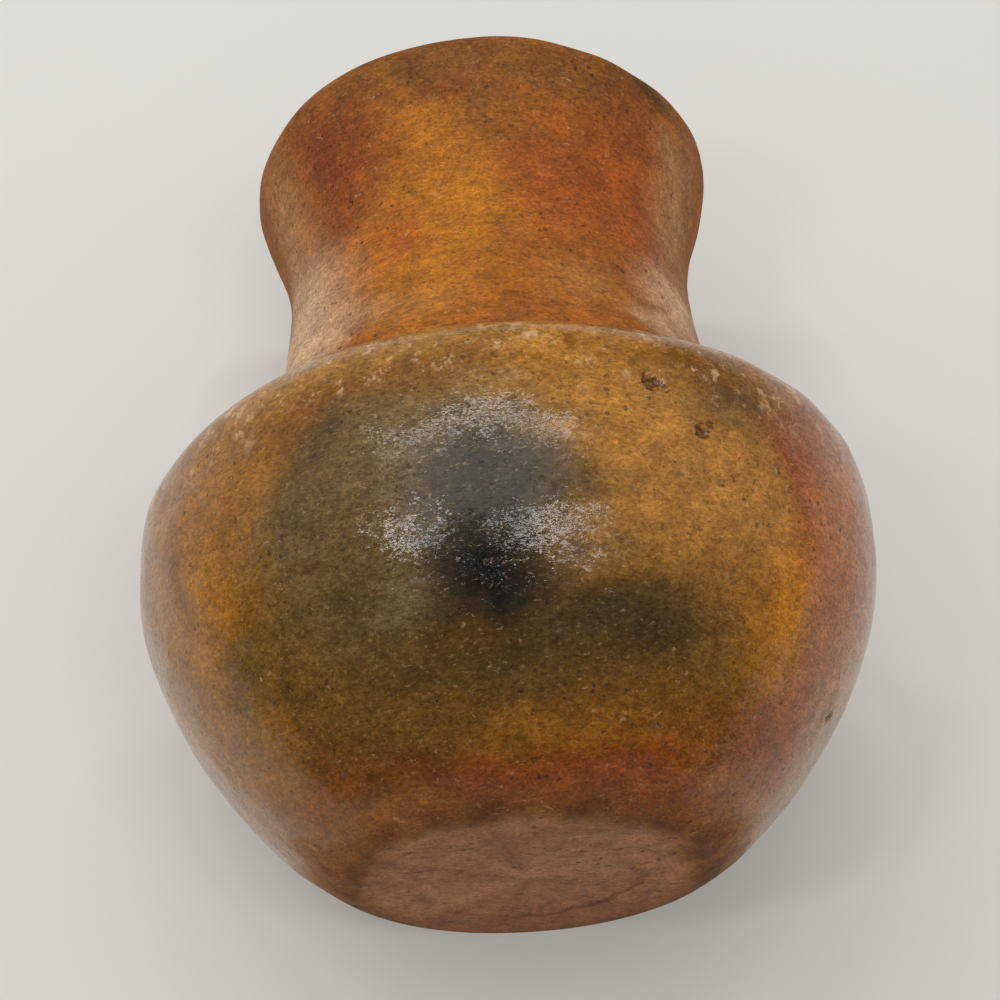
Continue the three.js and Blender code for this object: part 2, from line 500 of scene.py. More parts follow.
def clay_mesh(name, rows, closed):
    """A closed body of clay from rows round the axis; open rows end in two middles."""
    count = len(rows)
    points, shade, *marks = (np.concatenate(part) for part in zip(*rows))
    first = np.arange(COLUMNS)
    second = (first + 1) % COLUMNS
    faces = []
    for i in range(count if closed else count - 1):
        low, high = i * COLUMNS, (i + 1) % count * COLUMNS
        faces += np.stack((low + first, low + second, high + second, high + first), axis=1).tolist()
    if not closed:
        points = np.concatenate((points, [rows[0][0].mean(axis=0), rows[-1][0].mean(axis=0)]))
        shade = np.concatenate((shade, [(0, 0, -1), (0, 0, 1)]))
        marks = [np.concatenate((mark, mark[[0, -1]])) for mark in marks]
        bottom, top, high = len(points) - 2, len(points) - 1, (count - 1) * COLUMNS
        faces += [(bottom, int(b), int(a)) for a, b in zip(first, second)]
        faces += [(top, int(high + a), int(high + b)) for a, b in zip(first, second)]
    mesh = bpy.data.meshes.new(name)
    mesh.from_pydata(points.tolist(), [], faces)
    mesh.update()
    mesh.shade_smooth()
    mesh.normals_split_custom_set_from_vertices(shade.tolist())
    for label, values in zip(("pit", "inside"), marks):
        mesh.attributes.new(label, "FLOAT", "POINT").data.foreach_set("value", values)
    if mesh.validate(clean_customdata=False):
        raise RuntimeError(f"{name} isn't a sound mesh")
    return mesh


def coil_rows(skin, number):
    """Rows of a coil: up the outside, over its upper bed, down the inside and over its lower bed."""
    start = 0 if number == 0 else skin.outer_joint[number - 1]
    end = skin.rows if number == 0 else skin.inner_joint[number - 1] + 1
    if number == len(COILS) - 1:
        rows = [skin.row(i) for i in range(start, end)]
    else:
        rows = [skin.row(i) for i in range(start, skin.outer_joint[number] + 1)]
        rows += [bed_row(skin, number)]
        rows += [skin.row(i) for i in range(skin.inner_joint[number], end)]
    if number > 0:
        rows.append(bed_row(skin, number - 1))
    return rows


def new_object(name, data):
    """A new object in the scene."""
    thing = bpy.data.objects.new(name, data)
    bpy.context.scene.collection.objects.link(thing)
    return thing


def coil(node):
    """Makes the clay of one coil in place of its CAD node."""
    number = COILS.index(node)
    mesh = clay_mesh("clay_" + node, coil_rows(surface(), number), closed=number > 0)
    mesh.materials.append(burnished_earthenware())
    piece = new_object("clay_" + node, mesh)
    check_place(piece, node)
    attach(piece, "root")
    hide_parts(node)


def check_place(piece, node):
    """Stops the script if a coil doesn't lie where its CAD node is."""
    points = np.array([v.co for v in piece.data.vertices])
    box = points.min(axis=0), points.max(axis=0)
    off = np.abs(np.array(box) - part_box(node)).max()
    if off > PLACE_ROOM:
        raise RuntimeError(f"{piece.name} is {off / MM:.2f} mm away from its place")


# Material

def add(tree, kind, inputs=None, **settings):
    """Adds a node and feeds its inputs from values, nodes or sockets."""
    node = tree.nodes.new("ShaderNode" + kind)
    for name, value in settings.items():
        setattr(node, name, value)
    for key, value in (inputs or {}).items():
        named = (s for s in node.inputs if s.enabled and s.name == key)
        socket = node.inputs[key] if isinstance(key, int) else next(named)
        if isinstance(value, bpy.types.Node):
            value = next(s for s in value.outputs if s.enabled)
        if isinstance(value, bpy.types.NodeSocket):
            tree.links.new(value, socket)
        else:
            socket.default_value = value
    return node


def new_tree(owner):
    """The emptied node tree of a material or a world."""
    owner.use_nodes = True
    owner.node_tree.nodes.clear()
    return owner.node_tree


def ramp(tree, value, span, reach=(0, 1)):
    """Runs smoothly over the reach as the value crosses the span."""
    limits = {"From Min": span[0], "From Max": span[1], "To Min": reach[0], "To Max": reach[1]}
    return add(tree, "MapRange", {"Value": value, **limits}, interpolation_type="SMOOTHSTEP")


def times(tree, first, *others):
    """Masks and shares multiplied together."""
    for other in others:
        first = add(tree, "Math", {0: first, 1: other}, operation="MULTIPLY")
    return first


def raised(tree, ground, mask, share):
    """A value raised by a share of a mask."""
    return add(tree, "Math", {0: mask, 1: share, 2: ground}, operation="MULTIPLY_ADD")


def centred(tree, shade):
    """A random colour as an offset, with no lean to any side."""
    return add(tree, "VectorMath", {0: shade, 1: (0.5, 0.5, 0.5)}, operation="SUBTRACT")


def scaled(tree, vector, size):
    """A vector made longer or shorter."""
    return add(tree, "VectorMath", {0: vector, "Scale": size}, operation="SCALE")


def squashed(tree, place, squash):
    """Places spread along each axis, so that a pattern is finer along it."""
    return add(tree, "Mapping", {"Vector": place, "Scale": squash})


def wander(tree, place, size, reach):
    """Pushes places about at random, by up to about half the reach, in patches of a size."""
    grain = add(tree, "TexNoise", {"Vector": place, "Scale": 1 / (size * MM), "Detail": WANDER_DETAIL})
    moved = scaled(tree, centred(tree, grain.outputs["Color"]), reach * MM)
    return add(tree, "VectorMath", {0: place, 1: moved}, operation="ADD")


WANDER_DETAIL = 3.0
DOT_CORE = 0.6  # share of a spot's radius within which it is at its full strength
FLAT_SQUASH = (1, 1, 1.8)


def dots(tree, place, spacing, radius, ragged=1):
    """Ragged spots up to a radius, one to about each cube of a spacing, in millimetres."""
    bent = wander(tree, place, radius, radius * ragged * 2)
    cells = add(tree, "TexVoronoi", {"Vector": bent, "Scale": 1 / (spacing * MM)})
    return ramp(tree, cells.outputs["Distance"], (radius / spacing, radius * DOT_CORE / spacing))


def facets(tree, place, size):
    """A random colour for each of the small, wide flats that a stone leaves on clay."""
    cells = {"Vector": squashed(tree, place, FLAT_SQUASH), "Scale": 1 / (size * MM)}
    return add(tree, "TexVoronoi", cells).outputs["Color"]


Cloud = namedtuple("Cloud", "tone azimuth height width tall edge strength tilt", defaults=(0,))

# Colour left by the flames, and patches of painted sheen, from the first laid down to the last. Width
# and tall are half sizes in millimetres along the surface, edge is the share of a cloud's radius over
# which it fades out, and tilt turns it anticlockwise in degrees.
CLOUDS = tuple(Cloud(*row) for row in (
    # Neck
    ("amber", -14, 94, 17, 34, 0.9, 0.75),
    ("amber", -2, 99, 5, 12, 1, 0.5, 2),
    ("russet", 40, 103, 18, 17, 0.9, 0.85),
    ("russet", 22, 102, 14, 14, 1, 0.7),
    ("rust", 30, 108, 20, 10, 1, 0.4),
    ("gold", -24, 79, 15, 6, 1, 0.6),
    ("gold", 25, 82, 14, 8, 1, 0.5),
    ("rust", 40, 115, 22, 9, 1, 0.5),
    ("russet", -21, 94, 9, 9, 1, 0.75),
    ("rust", -40, 114, 14, 17, 0.9, 0.95, -6),
    ("rust", -46, 103, 10, 8, 1, 0.5),
    ("amber", -14, 115, 8, 9, 0.9, 0.5, -10),
    ("band", 1, 117, 9, 13, 1, 0.75),
    ("rust", -4, 121, 10, 4, 0.9, 0.7, 5),
    ("band", 22, 122, 22, 6, 0.9, 0.7),
    ("umber", 46, 125, 12, 4, 0.9, 0.8, -4),
    ("band", -12, 125, 60, 8, 1, 0.8),
    ("dust", 57, 117, 10, 6, 1, 0.6, -20),
    ("rust", -40, 121, 14, 8, 1, 0.45),
    ("rust", 42, 121, 12, 8, 1, 0.45),
    ("band", -20, 122, 10, 7, 1, 0.5),
    # Painted sheen over a little dust, where the sides of the neck reflect the pale table
    ("dust", -66, 112, 13, 22, 1, 0.8),
    ("dust", 66, 108, 13, 24, 1, 0.8),
    # Painted sheen: the pale reflection at the foot of the neck
    ("bloom", -66, 88, 23, 21, 0.8, 1),
    ("bloom", -50, 79, 19, 8, 1, 0.6, 12),
    ("bloom", 60, 86, 16, 13, 1, 0.85, -12),
    ("bloom", 47, 79, 11, 5, 1, 0.6),
    # Shoulder and right flank
    ("band", -14, 50, 34, 11, 0.7, 0.85),
    ("tan", -8, 58, 44, 7, 0.6, 0.9),
    ("terracotta", 60, 42, 28, 30, 0.5, 1),
    ("terracotta", 68, 20, 20, 24, 0.7, 0.9),
    ("rust", 43, 43, 13, 14, 1, 0.8, -24),
    ("gold", 15, 31, 33, 24, 0.16, 0.9),
    ("gold", 8, 53, 14, 9, 0.8, 0.8, 10),
    ("amber", 47, 22, 11, 16, 0.8, 0.75, 14),
    ("band", 34, 11, 24, 8, 1, 0.4, 4),
    ("umber", 32, 49, 13, 9, 1, 0.75, -10),
    ("band", 34, 54, 32, 7, 1, 0.7),
    # Left flank
    # Painted sheen at the left edge of the belly
    ("dust", -64, 38, 9, 17, 1, 0.7, 4),
    ("band", -56, 38, 5, 12, 1, 0.5, 4),
    ("orange", -50, 34, 8, 18, 0.9, 0.9, 2),
    ("orange", -57, 20, 10, 12, 1, 0.6),
    # Smoke
    ("olive", -33, 14, 25, 16, 0.3, 0.95, -12),
    ("olive", -17, 29, 28, 22, 0.35, 0.9),
    ("olive", 12, 14, 36, 11, 0.6, 0.9, 2),
    ("smoke", -17, 31, 23, 20, 0.45, 0.9, 4),
    ("smoke", -4, 43, 23, 12, 0.9, 0.85),
    ("smoke", 8, 34, 12, 7, 1, 0.7),
    ("umber", -25, 44, 9, 5, 1, 0.5, 8),
    ("umber", -29, 38, 8, 8, 1, 0.45),
    ("umber", -25, 24, 11, 9, 1, 0.4),
    # Painted sheen: a pale grey smear of reflected light on the smoke
    ("ash", -15, 21, 8, 6, 1, 0.4, 20),
    ("umber", -23, 10, 13, 5, 1, 0.45),
    ("umber", -4, 16, 22, 9, 0.9, 0.9),
    ("band", 34, 25, 17, 11, 1, 0.6),
    ("umber", 11, 19, 24, 10, 0.55, 0.85, -2),
    ("slate", 17, 19, 13, 6, 1, 0.4),
    ("slate", -1, 33, 17, 15, 0.8, 0.85),
    ("soot", -3, 24, 14, 11, 1, 1),
    ("smoke", 13, 27, 11, 5, 1, 0.6),
    ("band", -10, 17, 11, 4, 1, 0.35, 10),
    # Foot of the wall
    ("band", 0, 8, 50, 10, 0.9, 0.75),
    ("umber", 0, 12, 44, 7, 1, 0.5),
    ("rust", 4, 3, 60, 6.5, 0.9, 0.85),
    ("rust", 42, 3, 24, 7, 1, 0.75),
    ("umber", -25, 6, 22, 6, 1, 0.35),
    ("olive", -31, 10, 17, 8, 1, 0.7, -8),
    ("rust", -54, 6, 18, 7, 0.8, 0.6, -10),
    ("orange", -58, 11, 13, 12, 1, 0.65, -10),
    ("band", 48, 10, 18, 8, 1, 0.6),
    ("rust", 60, 10, 18, 12, 0.9, 0.7),
    # The back
    ("olive", 152, 30, 26, 17, 0.8, 0.8, 8),
    ("umber", 146, 26, 13, 9, 1, 0.7),
    ("terracotta", -128, 40, 24, 20, 0.9, 0.8, -10),
    ("gold", -165, 46, 26, 16, 0.9, 0.7),
    ("rust", 180, 4, 60, 7, 0.9, 0.75),
    ("russet", -150, 104, 18, 20, 1, 0.7),
    ("amber", 160, 96, 14, 24, 1, 0.6),
    ("band", 180, 125, 60, 8, 1, 0.7),
    # The sides turn paler: painted sheen, where they reflect the pale table at a grazing angle
    ("dust", -80, 24, 17, 34, 1, 1),
    ("dust", 84, 26, 18, 40, 1, 1),
))
CLOUD_DEPTH = 30  # how far through the pot a cloud reaches, so that it stays on its own side


def cloud_frame(cloud):
    """Centre and turn of a cloud, whose X runs round the vase, Z up the wall and Y inwards."""
    outside = surface().wall()
    row = int(np.argmin(np.abs(outside[:, 1] - cloud.height * MM)))
    along = unit(outside[min(row + 1, len(outside) - 1)] - outside[max(row - 1, 0)])
    angle = radians(cloud.azimuth)
    radius, height = outside[row]
    centre = Vector((radius * sin(angle), -radius * cos(angle), height))
    around = Vector((cos(angle), sin(angle), 0))
    up = Vector((along[0] * sin(angle), -along[0] * cos(angle), along[1]))
    inward = up.cross(around)
    turn = Matrix((around, inward, up)).transposed() @ Matrix.Rotation(-radians(cloud.tilt), 3, "Y")
    return centre, turn.to_euler()


# Patterns of the clay, in millimetres. The real grain is finer than the picture can show, so the
# finest patterns are drawn as coarse as they need to be to show. A tone comes in between two levels
# of the noise, up to its share.
Grain = namedtuple("Grain", "size detail squash roughness")
Pattern = namedtuple("Pattern", "tone grain levels share")
EVEN = (1, 1, 1)
CLOUD_EDGES = ((16, 9), (2.6, 3))  # patches in which a cloud's edge wanders, and by how much
MOTTLE_LEVELS = (0.3, 0.7)
MOTTLES = (
    (Grain(6, 5, (1, 1, 5), 0.65), 0.12),  # streaks along the strokes of the burnishing stone
    (Grain(13, 5, EVEN, 0.65), 0.14),  # patches as wide as a finger
    (Grain(4, 5, EVEN, 0.7), 0.2),  # mottles a few millimetres wide
    (Grain(0.9, 3, (1, 1, 1.8), 0.75), 0.24),  # the sandy grain of the clay
)
FLATS = ((0.34, 0.1), (1.1, 0.06))  # sizes of the stone's flats, and the slopes that they lean by
FLAT_SHADES = (0.84, 1.16)
PORES = Grain(1.5, 4, (1, 1, 2.4), 0.75)
CRUMBS = Grain(0.9, 3, (1, 1, 2), 0.7)
SPECKLES = (
    Pattern("grit", PORES, (0.6, 0.72), 0.55),
    Pattern("grit", CRUMBS, (0.56, 0.68), 0.45),
    Pattern("scuff", CRUMBS, (0.4, 0.3), 0.22),
)
PIT_CRUMBS = (0.42, 0.6), (0.2, 1.8)  # levels of the pores, and how many crumbs a pit holds there
PIT_STAIN = (0.08, 0.45), (0, 0.7)  # depths of a pit, and how dark it is at them
CHALK = Grain(3.6, 6, EVEN, 0.75)
CHALKING = (Pattern("scuff", CHALK, (0.54, 0.64), 0.75), Pattern("band", CHALK, (0.45, 0.35), 0.75))
DRAG_MARKS = Pattern("dark_marks_and_crease_shade", Grain(1.5, 5, (0.5, 1.5, 1), 0.7), (0.55, 0.67), 0.75)
RELIEF = (
    (Grain(2.2, 3, (1, 1, 1.5), 0.6), 0.05),  # sandy ups and downs, and their height
    (Grain(0.8, 2, (1, 1, 2), 0.6), 0.022),  # single strokes of the stone
)
GRIT_DEPTH = 0.12
POLISH = Grain(9, 3, EVEN, 0.5)
POLISH_LEVELS = (0.35, 0.65)
POLISHED = (0.18, 0.14)  # roughness from the least to the best polished clay
UNPOLISHED = 0.65  # what bare clay is rougher by
CLAY_SPECULAR = 0.4

# Places on the vase, in millimetres up from the foot's level or out from the foot's edge. A second
# pair is the strength at both ends of the first.
NECK_SPAN = (58, 70)
LOW_SPAN = (7, 5)
DISC_EDGE = (1, -3)
SKIRT = (11, 2)
CHALK_RISES = (44, 54)
CHALK_ENDS = (68, 63)
SCRAPED_SPAN = (56, 72)
FOOT_FADE = (10, 25), (1, 0.75)  # towards +X
HEEL = (4, 24), (0, 0.55)  # towards +Y
# Rings of painted shade in the crease between the wall and the foot
CREASE_SHADES = (("rust", 3, 7, 0.6), ("dark_marks_and_crease_shade", 1.4, 3.6, 0.7))  # how far out, half width and strength
BREAKS = Grain(5, 4, EVEN, 0.5)
BREAK_LEVELS = (0.36, 0.6), (0.45, 1)
SEAM_HALF = 1.4
SEAM_SHARE = 0.7
SEAM_BESIDE = (-14, 8), (0.2, 1)  # along X
SEAM_BEHIND = (-8, 10), (0.12, 1)  # along Y

# Kinds of scratch: their turn, length over width, half width in millimetres and strength
SCRATCHES = (
    ((0.2, 0.4, 0.3), 16, 0.15, 0.42),
    ((0.9, -0.8, -0.5), 6, 0.18, 0.3),
    ((0.1, 1.3, 0.6), 4, 0.18, 0.3),
)
SCRATCH_SPACING = 1.8
SCRATCH_WANDER = (4, 5)
SCUFF_WANDER = (5, 3)
GRIT_SPOTS = (2.3, 0.4)  # spacing and radius
GRIT_SHARE = 0.6
FINE_SPOTS = (1.1, 0.2)
FINE_SHARE = 0.4
SCUFF_SPOTS = (2.6, 0.36, 2)  # the last is how ragged they are
SCUFF_SHARE = 0.3
SPOT_PATCHES = Grain(14, 3, EVEN, 0.5)
MANY = (0.42, 0.6), (0.25, 1)  # levels of the patches, and the strength of the marks there
FEW = (0.55, 0.4), (0.1, 1)


class Clay:
    """The clay's nodes: places on the vase, masks over it and the colour so far."""

    def __init__(self, tree, tones, foot_radius):
        self.tree = tree
        self.tones = tones
        self.foot_radius = foot_radius
        self.place = add(tree, "TexCoord").outputs["Object"]
        self.x, self.y, self.height = add(tree, "SeparateXYZ", {0: self.place}).outputs
        self.warped = self.place
        for size, reach in CLOUD_EDGES:
            self.warped = wander(tree, self.warped, size, reach)
        flat = add(tree, "VectorMath", {0: self.warped, 1: (1, 1, 0)}, operation="MULTIPLY")
        self.radius = add(tree, "VectorMath", {0: flat}, operation="LENGTH").outputs["Value"]
        self.low = self.over(self.height, LOW_SPAN)
        self.bare = times(tree, self.low, self.past_foot(DISC_EDGE))
        self.skirt = times(tree, self.past_foot(SKIRT), self.low)
        self.flats = [facets(tree, self.place, size) for size, _ in FLATS]
        self.inside = self.mark("inside")
        self.grit = None
        self.base = (*tones.clay, 1)

    def mark(self, name):
        """What the mesh says at each point."""
        return add(self.tree, "Attribute", attribute_name=name).outputs["Fac"]

    def over(self, distance, span, reach=(0, 1)):
        """Runs over the reach across a span in millimetres."""
        return ramp(self.tree, distance, (span[0] * MM, span[1] * MM), reach)

    def past_foot(self, span):
        """Comes in over distances out from the edge of the foot."""
        return self.over(self.radius, [self.foot_radius / MM + out for out in span])

    def noise(self, grain):
        """A random pattern from 0 to 1, mostly near a half."""
        shape = {"Scale": 1 / (grain.size * MM), "Detail": grain.detail, "Roughness": grain.roughness}
        spread = squashed(self.tree, self.place, grain.squash)
        return add(self.tree, "TexNoise", {"Vector": spread, **shape}).outputs["Fac"]

    def lay(self, tone, *masks):
        """Lays a tone over the colour so far, where all of the masks let it."""
        share = times(self.tree, *masks)
        layer = {"Factor": share, "A": self.base, "B": (*getattr(self.tones, tone), 1)}
        self.base = add(self.tree, "Mix", layer, data_type="RGBA")

    def lay_pattern(self, pattern, *masks):
        """Lays a tone in a random pattern."""
        share = ramp(self.tree, self.noise(pattern.grain), pattern.levels, (0, pattern.share))
        self.lay(pattern.tone, share, *masks)

    def shade(self, share):
        """Makes the colour so far lighter or darker."""
        self.base = scaled(self.tree, self.base, share)

    def lay_foot(self):
        """The bare foot, where the pot stood, browner towards +X and +Y."""
        self.lay("foot", self.bare, self.over(self.x, *FOOT_FADE))
        self.lay("rust", self.bare, self.over(self.y, *HEEL))

    def lay_cloud(self, cloud):
        """Lays one soft-edged cloud."""
        centre, turn = cloud_frame(cloud)
        size = (cloud.width * MM, CLOUD_DEPTH * MM, cloud.tall * MM)
        own_frame = {"Vector": self.warped, "Location": centre, "Rotation": turn, "Scale": size}
        local = add(self.tree, "Mapping", own_frame, vector_type="TEXTURE")
        core = add(self.tree, "TexGradient", {"Vector": local}, gradient_type="SPHERICAL")
        fade = ramp(self.tree, core.outputs["Fac"], (0, cloud.edge), (0, cloud.strength))
        self.lay(cloud.tone, fade)

    def ring(self, at, half):
        """A soft ring about the axis, on the foot and just above it."""
        off = add(self.tree, "Math", {0: self.radius, 1: at}, operation="SUBTRACT")
        off = add(self.tree, "Math", {0: off}, operation="ABSOLUTE")
        return times(self.tree, ramp(self.tree, off, (half * MM, 0)), self.low)

    def lay_crease_shade_and_marks(self):
        """Painted shade in the crease round the foot, the pad's dark seam at one side of it, and drag
        marks.
        """
        broken = ramp(self.tree, self.noise(BREAKS), *BREAK_LEVELS)
        for tone, out, half, share in CREASE_SHADES:
            self.lay(tone, self.ring(self.foot_radius + out * MM, half), broken, share)
        behind, beside = self.over(self.y, *SEAM_BEHIND), self.over(self.x, *SEAM_BESIDE)
        skin = surface()
        seam = float(skin.profile[skin.outer_joint[0], 0])
        self.lay("dark_marks_and_crease_shade", self.ring(seam, SEAM_HALF), behind, beside, SEAM_SHARE)
        self.lay_pattern(DRAG_MARKS, self.bare)

    def mottle(self):
        """Streaks, patches and grain, and lighter and darker flats."""
        for grain, share in MOTTLES:
            self.shade(ramp(self.tree, self.noise(grain), MOTTLE_LEVELS, (1 - share, 1 + share)))
        flat = add(self.tree, "SeparateXYZ", {0: self.flats[0]}).outputs["X"]
        self.shade(ramp(self.tree, flat, (0, 1), FLAT_SHADES))

    def speckle(self):
        """Pores, dark grit in two sizes, pale scratches and scuffs."""
        tree, place = self.tree, self.place
        patches = self.noise(SPOT_PATCHES)
        many, few = ramp(tree, patches, *MANY), ramp(tree, patches, *FEW)
        for pattern in SPECKLES:
            self.lay_pattern(pattern)
        curved = wander(tree, place, *SCRATCH_WANDER)
        for turn, reach, radius, share in SCRATCHES:
            along = {"Vector": curved, "Rotation": turn, "Scale": (1 / reach, 1, 1)}
            drawn = add(tree, "Mapping", along)
            self.lay("scuff", dots(tree, drawn, SCRATCH_SPACING, radius), many, share)
        self.grit = times(tree, dots(tree, place, *GRIT_SPOTS), many)
        self.lay("grit", self.grit, GRIT_SHARE)
        self.lay("grit", dots(tree, place, *FINE_SPOTS), FINE_SHARE)
        bent = wander(tree, place, *SCUFF_WANDER)
        self.lay("scuff", dots(tree, bent, *SCUFF_SPOTS), few, SCUFF_SHARE)

    def lay_chalk(self):
        """The shoulder is chalky where it has rubbed against things."""
        rises, ends = self.over(self.height, CHALK_RISES), self.over(self.height, CHALK_ENDS)
        crown = times(self.tree, rises, ends)
        for pattern in CHALKING:
            self.lay_pattern(pattern, crown)

    def stain_pits(self):
        """The open pits hold dark crumbs of grit."""
        pit = self.mark("pit")
        crumbs = times(self.tree, pit, ramp(self.tree, self.noise(PORES), *PIT_CRUMBS))
        self.lay("grit", self.over(crumbs, *PIT_STAIN))

    def normal(self):
        """Flats that lean one by one, so that they glint, with relief and sunken grit."""
        tree = self.tree
        normal = add(tree, "NewGeometry").outputs["Normal"]
        for flats, (_, slope) in zip(self.flats, FLATS):
            lean = scaled(tree, centred(tree, flats), slope)
            normal = add(tree, "VectorMath", {0: normal, 1: lean}, operation="ADD")
        normal = add(tree, "VectorMath", {0: normal}, operation="NORMALIZE")
        relief = 0.0
        for grain, rise in RELIEF:
            relief = raised(tree, relief, self.noise(grain), rise)
        relief = raised(tree, relief, self.grit, -GRIT_DEPTH)
        return add(tree, "Bump", {"Height": relief, "Distance": MM, "Strength": 1.0, "Normal": normal})

    def roughness(self):
        """Glossy where the stone rubbed best, and matt on the neck, the foot and inside."""
        dull = self.over(self.height, SCRAPED_SPAN)
        for matt in (self.skirt, self.inside):
            dull = add(self.tree, "Math", {0: dull, 1: matt}, operation="MAXIMUM")
        polish = ramp(self.tree, self.noise(POLISH), POLISH_LEVELS, POLISHED)
        return raised(self.tree, polish, dull, UNPOLISHED)


@lru_cache(maxsize=1)
def burnished_earthenware():
    """Low-fired earthenware, rubbed with a stone before firing and clouded by the flames. It looks
    warm and matt as clay does, with a soft polish on the belly that breaks up into glints."""
    material = bpy.data.materials.new("burnished_earthenware")
    tree = new_tree(material)
    scene = bpy.context.scene
    clay = Clay(tree, scene.vase_colours, scene.vase_outline.foot_radius)
    clay.lay("neck", clay.over(clay.height, NECK_SPAN))
    clay.lay_foot()
    for cloud in CLOUDS:
        clay.lay_cloud(cloud)
    clay.lay_crease_shade_and_marks()
    clay.mottle()
    clay.speckle()
    clay.lay_chalk()
    clay.stain_pits()
    clay.lay("inside", clay.inside)
    inputs = {
        "Base Color": clay.base,
        "Roughness": clay.roughness(),
        "Specular IOR Level": CLAY_SPECULAR,
        "Normal": clay.normal(),
    }
    add(tree, "OutputMaterial", {"Surface": add(tree, "BsdfPrincipled", inputs)})
    return material


# Stage

TABLE_SIDE = 1.2  # metres, as the lamps' distance and sizes
TABLE_GAP = 0.6 * MM  # room for the clay's unevenness where the vase touches the table

# Small ceiling lights, a dim wall and two windows, each with the direction it shines from, its share
# of the light, and its size in metres
Lamp = namedtuple("Lamp", "name toward share width height")
LAMPS = (
    Lamp("long_light_left", (-0.34, -0.9, 0.18), 0.07, 0.2, 0.06),
    Lamp("long_light_middle", (-0.07, -0.94, 0.3), 0.11, 0.28, 0.06),
    Lamp("long_light_right", (0.21, -0.93, 0.17), 0.08, 0.24, 0.06),
    Lamp("left_light", (-0.42, -0.82, -0.33), 0.08, 0.16, 0.05),
    Lamp("right_light", (0.19, -0.87, -0.37), 0.15, 0.36, 0.05),
    Lamp("wall", (-0.1, -1.0, -0.08), 0.12, 0.6, 0.3),
    Lamp("left_window", (-0.7, -0.5, 0.6), 0.33, 1.4, 1.4),
    Lamp("right_window", (0.85, -0.5, 0.15), 0.1, 1.0, 1.0),
)
LAMP_DISTANCE = 0.8
FULL_POWER = (pi * LAMP_DISTANCE) ** 2  # watts of one lamp that renders colours as they are written


def table_material(studio):
    """A matt table top, clear from behind so that it never hides the vase."""
    material = bpy.data.materials.new("matt_table")
    tree = new_tree(material)
    top = add(tree, "BsdfDiffuse", {"Color": (*studio.table, 1)})
    clear = add(tree, "BsdfTransparent")
    behind = add(tree, "NewGeometry").outputs["Backfacing"]
    shader = add(tree, "MixShader", {0: behind, 1: top, 2: clear})
    add(tree, "OutputMaterial", {"Surface": shader})
    return material


def table_top(studio, skin):
    """The table behind the vase, which lies on its belly and its rim."""
    rim = skin.profile[skin.outer_rows]
    body = skin.profile[: skin.outer_rows]
    body = body[body[:, 1] < bpy.context.scene.vase_outline.root_height]
    lean = np.arctan2(body[:, 0] - rim[0], rim[1] - body[:, 1])
    touch = body[int(np.argmax(lean))]
    along = Vector((0, rim[0] - touch[0], rim[1] - touch[1])).normalized()
    facing = Vector((1, 0, 0)).cross(along).normalized()
    middle = Vector((0, (rim[0] + touch[0]) / 2, (rim[1] + touch[1]) / 2)) - facing * TABLE_GAP
    half = TABLE_SIDE / 2
    side = Vector((half, 0, 0))
    corners = [middle + side * x + along * half * z for x, z in ((-1, -1), (1, -1), (1, 1), (-1, 1))]
    mesh = bpy.data.meshes.new("table_top")
    mesh.from_pydata(corners, [], [(0, 1, 2, 3)])
    mesh.materials.append(table_material(studio))
    table = new_object("table_top", mesh)


def hang_lamps():
    """The lamps round the vase, turned to its middle."""
    middle = Vector((0, 0, FRAME_HIGH.z / 2))
    for lamp in LAMPS:
        data = bpy.data.lights.new(lamp.name, "AREA")
        data.shape = "RECTANGLE"
        data.size = lamp.width
        data.size_y = lamp.height
        data.energy = lamp.share * FULL_POWER
        toward = Vector(lamp.toward).normalized()
        light = new_object(lamp.name, data)
        light.location = middle + toward * LAMP_DISTANCE
        light.rotation_euler = toward.to_track_quat("Z", "Y").to_euler()


def light_room(scene, studio):
    """An even sky, darker in reflections, and a room as pale as the table behind the vase."""
    world = bpy.data.worlds.new("pale_room")
    tree = new_tree(world)
    rays = add(tree, "LightPath").outputs
    white = (1, 1, 1, 1)
    lit = add(tree, "Background", {"Color": white, "Strength": studio.sky})
    mirrored = add(tree, "Background", {"Color": white, "Strength": studio.gloom})
    seen = add(tree, "Background", {"Color": (*studio.table, 1)})
    around = add(tree, "MixShader", {0: rays["Is Glossy Ray"], 1: lit, 2: mirrored})
    both = add(tree, "MixShader", {0: rays["Is Camera Ray"], 1: around, 2: seen})
    add(tree, "OutputWorld", {"Surface": both})
    scene.world = world


def place_camera(scene, studio):
    """The camera, below the foot and looking up at the vase."""
    lens = bpy.data.cameras.new("camera")
    lens.lens = lens.sensor_width * studio.focal
    camera = new_object("camera", lens)
    camera.location = (0, -studio.distance, -studio.drop)
    turn = Matrix.Rotation(-studio.yaw, 4, "Z") @ Matrix.Rotation(pi / 2 + studio.pitch, 4, "X")
    turn = turn @ Matrix.Rotation(studio.roll, 4, "Z")
    camera.rotation_euler = turn.to_euler()
    scene.camera = camera
    scene.view_settings.view_transform = "Standard"


class VASE_OT_base_pad(bpy.types.Operator):
    """Makes the flat pad of clay under the pot"""

    bl_idname = "vase.base_pad"
    bl_label = "Base Pad"

    def execute(self, context):
        coil("base_pad")
        return {"FINISHED"}


class VASE_OT_foot_coil(bpy.types.Operator):
    """Makes the first coil, luted round the pad"""

    bl_idname = "vase.foot_coil"
    bl_label = "Foot Coil"

    def execute(self, context):
        coil("foot_coil")
        return {"FINISHED"}


class VASE_OT_body_coils(bpy.types.Operator):
    """Makes the coils of the bowl, belly and shoulder"""

    bl_idname = "vase.body_coils"
    bl_label = "Body Coils"

    def execute(self, context):
        for node in BODY_COILS:
            coil(node)
        return {"FINISHED"}


class VASE_OT_neck_coils(bpy.types.Operator):
    """Makes the coils of the neck"""

    bl_idname = "vase.neck_coils"
    bl_label = "Neck Coils"

    def execute(self, context):
        for node in NECK_COILS:
            coil(node)
        return {"FINISHED"}


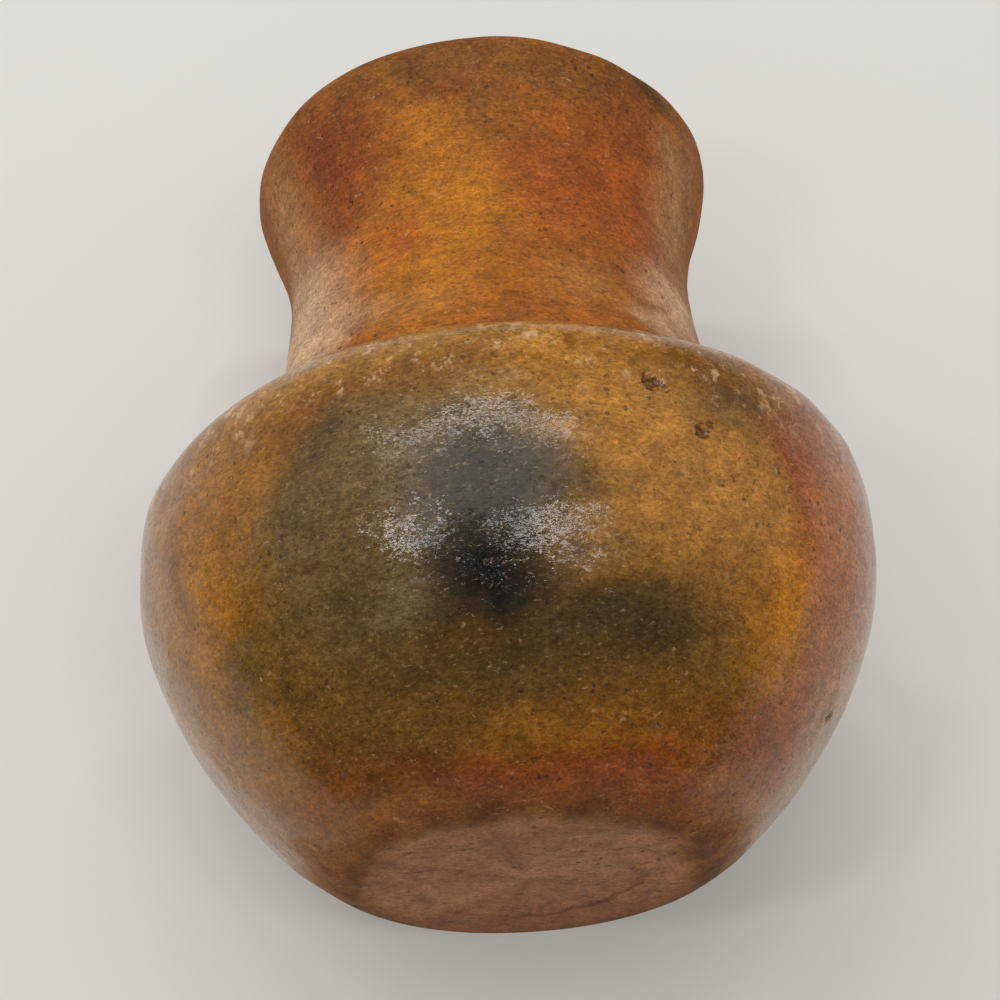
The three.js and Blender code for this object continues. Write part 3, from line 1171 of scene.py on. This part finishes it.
class VASE_OT_rim_coil(bpy.types.Operator):
    """Makes the last coil, rounded over into the lip"""

    bl_idname = "vase.rim_coil"
    bl_label = "Rim Coil"

    def execute(self, context):
        coil("rim_coil")
        return {"FINISHED"}


class VASE_OT_stage(bpy.types.Operator):
    """Lays the vase on a pale table, with soft light and a camera"""

    bl_idname = "vase.stage"
    bl_label = "Stage"

    def execute(self, context):
        scene = context.scene
        table_top(scene.vase_studio, surface())
        hang_lamps()
        light_room(scene, scene.vase_studio)
        place_camera(scene, scene.vase_studio)
        return {"FINISHED"}


class VASE_PT_panel(bpy.types.Panel):
    """Lists the steps that build the vase"""

    bl_idname = "VASE_PT_panel"
    bl_label = "Coiled Vase"
    bl_space_type = "VIEW_3D"
    bl_region_type = "UI"
    bl_category = "Vase"

    def draw(self, context):
        for operator in OPERATORS:
            self.layout.operator(operator.bl_idname)
        for settings in GROUPS:
            group = getattr(context.scene, settings)
            for name in group.__annotations__:
                self.layout.prop(group, name)


OPERATORS = (
    VASE_OT_base_pad,
    VASE_OT_foot_coil,
    VASE_OT_body_coils,
    VASE_OT_neck_coils,
    VASE_OT_rim_coil,
    VASE_OT_stage,
)
GROUPS = {
    "vase_outline": VaseOutline,
    "vase_finish": VaseFinish,
    "vase_colours": ClayColours,
    "vase_studio": VaseStudio,
}


def register():
    for name, group in GROUPS.items():
        bpy.utils.register_class(group)
        setattr(bpy.types.Scene, name, bpy.props.PointerProperty(type=group))
    for operator in OPERATORS:
        bpy.utils.register_class(operator)
    bpy.utils.register_class(VASE_PT_panel)


def unregister():
    bpy.utils.unregister_class(VASE_PT_panel)
    for operator in reversed(OPERATORS):
        bpy.utils.unregister_class(operator)
    for name, group in GROUPS.items():
        delattr(bpy.types.Scene, name)
        bpy.utils.unregister_class(group)


def main():
    register()
    bpy.ops.vase.base_pad()
    bpy.ops.vase.foot_coil()
    bpy.ops.vase.body_coils()
    bpy.ops.vase.neck_coils()
    bpy.ops.vase.rim_coil()
    bpy.ops.vase.stage()


if __name__ == "__main__":
    main()
